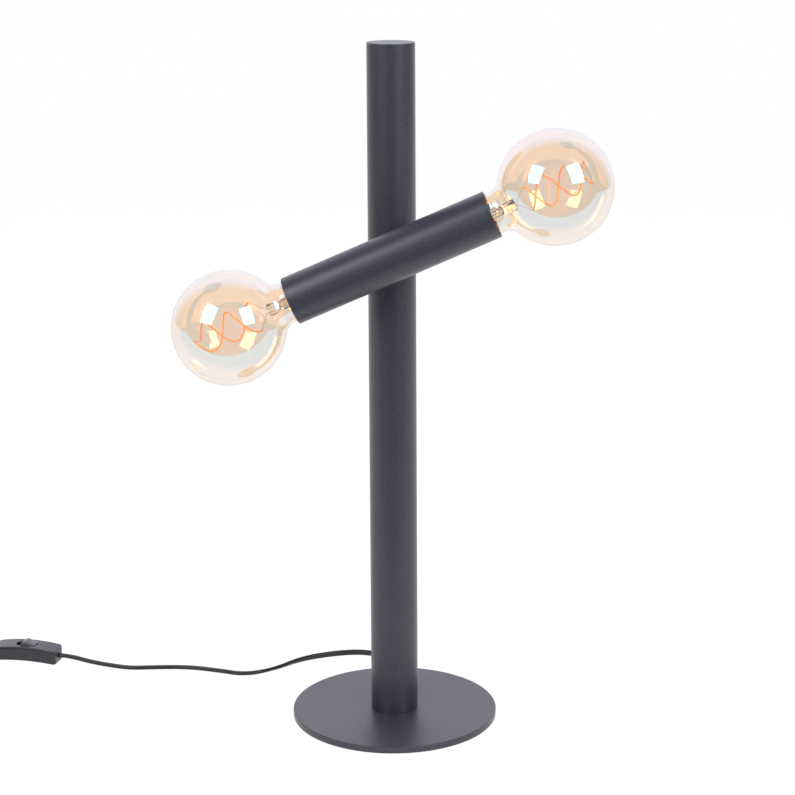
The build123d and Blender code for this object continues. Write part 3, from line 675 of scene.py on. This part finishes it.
coil_start_mm = (-425.0, 138.5)
coil_pitch_mm = 5.8
coil_inner_mm = 19.4
coil_climb_inset_mm = 0.8
coil_turns_in = 7
coil_turns_out = 6
coil_layer_gap_mm = 0.1
coil_outer_mm = coil_inner_mm + coil_turns_in * coil_pitch_mm / 2
coil_centre_mm = (coil_start_mm[0], coil_start_mm[1] - coil_outer_mm)
coil_top_mm = cord_high_mm + cord_width_mm + coil_layer_gap_mm
plug_start_gap_mm = 34.0
plug_axis_mm = 6.85
plug_tip_mm = coil_start_mm[0] - plug_start_gap_mm
plug_cord_bend_mm = 12.0
plug_y_mm = coil_centre_mm[1] + coil_inner_mm + coil_turns_out * coil_pitch_mm / 2


def coil_points(per_half=7):
    """Points of the wound cord: inwards on the table, a half turn of climb, outwards on top."""
    half_pitch = coil_pitch_mm / 2
    climb = coil_inner_mm - coil_climb_inset_mm
    halves = [(coil_outer_mm - k * half_pitch, cord_high_mm) for k in range(coil_turns_in)]
    halves += [(climb, cord_high_mm), (climb, coil_top_mm)]
    halves += [(coil_inner_mm + (k + 1) * half_pitch, coil_top_mm) for k in range(coil_turns_out)]
    points = []
    for k, (here, there) in enumerate(zip(halves, halves[1:])):
        for step in range(per_half):
            share = step / per_half
            radius = here[0] + (there[0] - here[0]) * share
            height = here[1] + (there[1] - here[1]) * (3 * share**2 - 2 * share**3)
            angle = math.pi * (k + share) + math.pi / 2
            # a control point stands a little outside the curve that it draws
            radius /= math.cos(math.pi / per_half / 2) ** 2
            x = coil_centre_mm[0] + radius * math.cos(angle)
            y = coil_centre_mm[1] + radius * math.sin(angle)
            points.append((x, y, height))
    return points


wound = coil_points()
tail_route = [
    switch_point(-switch_grip_mm, switch_cord_height_mm),
    switch_point(-switch_grip_mm - switch_cord_lift_mm, switch_cord_height_mm),
    (-397.0, 136.0, cord_high_mm),
    (-409.0, coil_start_mm[1], cord_high_mm),
]
end_route = [
    (coil_start_mm[0], plug_y_mm, coil_top_mm),
    (plug_tip_mm + 1.5 * plug_cord_bend_mm, plug_y_mm, coil_top_mm),
    (plug_tip_mm + 0.5 * plug_cord_bend_mm, plug_y_mm, plug_axis_mm),
    (plug_tip_mm - cord_grip_mm, plug_y_mm, plug_axis_mm),
]
tail = flat_cord(
    "cord_to_plug",
    tail_route + wound + end_route,
    [0, 15, 60, 85] + [90] * len(wound) + [90, 70, 20, 0],
)
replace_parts(tail, "cord_tail", "cord_coil", "cord_end")


# Table, light and surroundings; levels are brightnesses next to a white of 1
table_reach = 4.0
table_front = (-0.44, -0.42)
table_white_level = 1.15
table_white_share = 0.85
dark_room_level = 0.10
backdrop_level = 1.15
backdrop_rise = (0.40, 0.80)
backdrop_slant = 0.3
soft_light_level = 0.15


def table_top():
    """White table: bright to the camera, with the lamp's soft shadow in it.

    A mirrored ray finds it white from its front edge backwards, and the dark room before that."""
    made, tree, surface = new_material("white_table")
    tree.nodes.remove(surface)
    rays = add(tree, "ShaderNodeLightPath")
    place = add(tree, "ShaderNodeTexCoord").outputs["Object"]
    depth = add(tree, "ShaderNodeSeparateXYZ", {0: place}).outputs["Y"]
    matt = add(tree, "ShaderNodeBsdfDiffuse", {"Color": tint("c8c7c9")})
    white = add(tree, "ShaderNodeEmission", {
        "Color": (1, 1, 1, 1), "Strength": table_white_level,
    })
    seen = add(tree, "ShaderNodeMixShader", {
        "Fac": table_white_share, 1: matt.outputs[0], 2: white.outputs[0],
    })
    front = add(tree, "ShaderNodeMapRange", {
        "Value": depth, "From Min": table_front[0], "From Max": table_front[1],
        "To Min": dark_room_level, "To Max": 1.00,
    })
    mirrored = add(tree, "ShaderNodeEmission", {
        "Color": tint("fffaf5"), "Strength": front.outputs[0],
    })
    straight = add(tree, "ShaderNodeMixShader", {
        "Fac": rays.outputs["Is Diffuse Ray"], 1: seen.outputs[0], 2: matt.outputs[0],
    })
    both = add(tree, "ShaderNodeMixShader", {
        "Fac": mirrored_rays(tree, rays), 1: straight.outputs[0], 2: mirrored.outputs[0],
    })
    show(tree, both)
    mesh = bmesh.new()
    bmesh.ops.create_grid(mesh, x_segments=1, y_segments=1, size=table_reach)
    data = bpy.data.meshes.new("table_top")
    mesh.to_mesh(data)
    mesh.free()
    data.materials.append(made)
    new_object("table_top", data)


def surroundings():
    """White backdrop behind, a dim room in front, and an even soft light for matt surfaces."""
    world = bpy.data.worlds.new("studio")
    scene.world = world
    world.use_nodes = True
    tree = world.node_tree
    tree.nodes.clear()
    rays = add(tree, "ShaderNodeLightPath")
    way = add(tree, "ShaderNodeTexCoord").outputs["Generated"]
    axes = add(tree, "ShaderNodeSeparateXYZ", {0: way})
    lift = add(tree, "ShaderNodeMath", {
        0: axes.outputs["Z"], 1: backdrop_slant, 2: axes.outputs["Y"],
    }, operation="MULTIPLY_ADD")
    back = add(tree, "ShaderNodeMapRange", {
        "Value": lift.outputs[0], "From Min": backdrop_rise[0], "From Max": backdrop_rise[1],
        "To Min": dark_room_level, "To Max": backdrop_level,
    })
    glossy = mirrored_rays(tree, rays)
    straight = add(tree, "ShaderNodeMix", {
        "Factor": rays.outputs["Is Diffuse Ray"], "A": 1.0, "B": soft_light_level,
    })
    level = add(tree, "ShaderNodeMix", {
        "Factor": glossy, "A": straight.outputs[0], "B": back.outputs[0],
    })
    cool = add(tree, "ShaderNodeMix", {
        "Factor": glossy, "A": (1, 1, 1, 1), "B": tint("f4f5ff"),
    }, data_type="RGBA")
    light = add(tree, "ShaderNodeBackground", {
        "Color": cool.outputs[2], "Strength": level.outputs[0],
    })
    add(tree, "ShaderNodeOutputWorld", {"Surface": light.outputs[0]})


light_target = (0, -0.04, 0.38)


def softbox(name, place, size, strength, colour):
    """A rectangular soft light that faces the lamp; strength is its brightness next to white."""
    data = bpy.data.lights.new(name, "AREA")
    data.shape = "RECTANGLE"
    data.size, data.size_y = size
    data.energy = strength * math.pi * size[0] * size[1]
    data.color = colour
    made = new_object(name, data)
    made.location = place
    aim = Vector(light_target) - Vector(place)
    made.rotation_euler = aim.to_track_quat("-Z", "Y").to_euler()
    made.visible_camera = False
    return made


table_top()
surroundings()
# each globe shows the two front lights as upright white boxes, the right one cooler and stronger
front_size = (0.87, 1.20)
softbox("softbox_left", (-1.23, -1.24, 1.45), front_size, 6.6, (1.0, 0.99, 0.97))
softbox("softbox_right", (1.22, -1.25, 1.45), front_size, 9.6, (0.88, 0.93, 1.0))
# the light behind brings out the edges of the dark tubes, and is not itself mirrored
back_light = softbox("softbox_behind", (0.1, 1.3, 1.6), (1.6, 1.0), 3.4, (0.90, 0.92, 1.0))
back_light.visible_glossy = False
back_light.visible_transmission = False


# Camera, at the place from which the photograph was taken
camera_place = (0.0271, -1.7262, 0.7336)
camera_angles = (11.1257, -0.7586, -0.3191)
picture_px = 795
focal_px = 2116.23
optical_centre_px = (397.13, 265.94)
sensor_mm = 36.0


def photo_camera():
    """The camera fitted to the photograph: pitched down, turned and rolled by its angles."""
    data = bpy.data.cameras.new("photo_camera")
    made = new_object("photo_camera", data)
    pitch, yaw, roll = (math.radians(value) for value in camera_angles)
    level_y = math.cos(pitch)
    ahead = Vector((math.sin(yaw) * level_y, math.cos(yaw) * level_y, -math.sin(pitch)))
    level = Vector((math.cos(yaw), -math.sin(yaw), 0))
    upward = level.cross(ahead)
    right = level * math.cos(roll) + upward * math.sin(roll)
    above = upward * math.cos(roll) - level * math.sin(roll)
    facing = Matrix((right, above, -ahead)).transposed().to_4x4()
    made.matrix_world = Matrix.Translation(camera_place) @ facing
    middle_px = picture_px / 2
    data.sensor_width = sensor_mm
    data.lens = sensor_mm * focal_px / picture_px
    data.shift_x = (middle_px - optical_centre_px[0]) / picture_px
    data.shift_y = (optical_centre_px[1] - middle_px) / picture_px
    data.clip_start, data.clip_end = 0.05, 50
    scene.camera = made


photo_camera()
scene.view_settings.view_transform = "Standard"
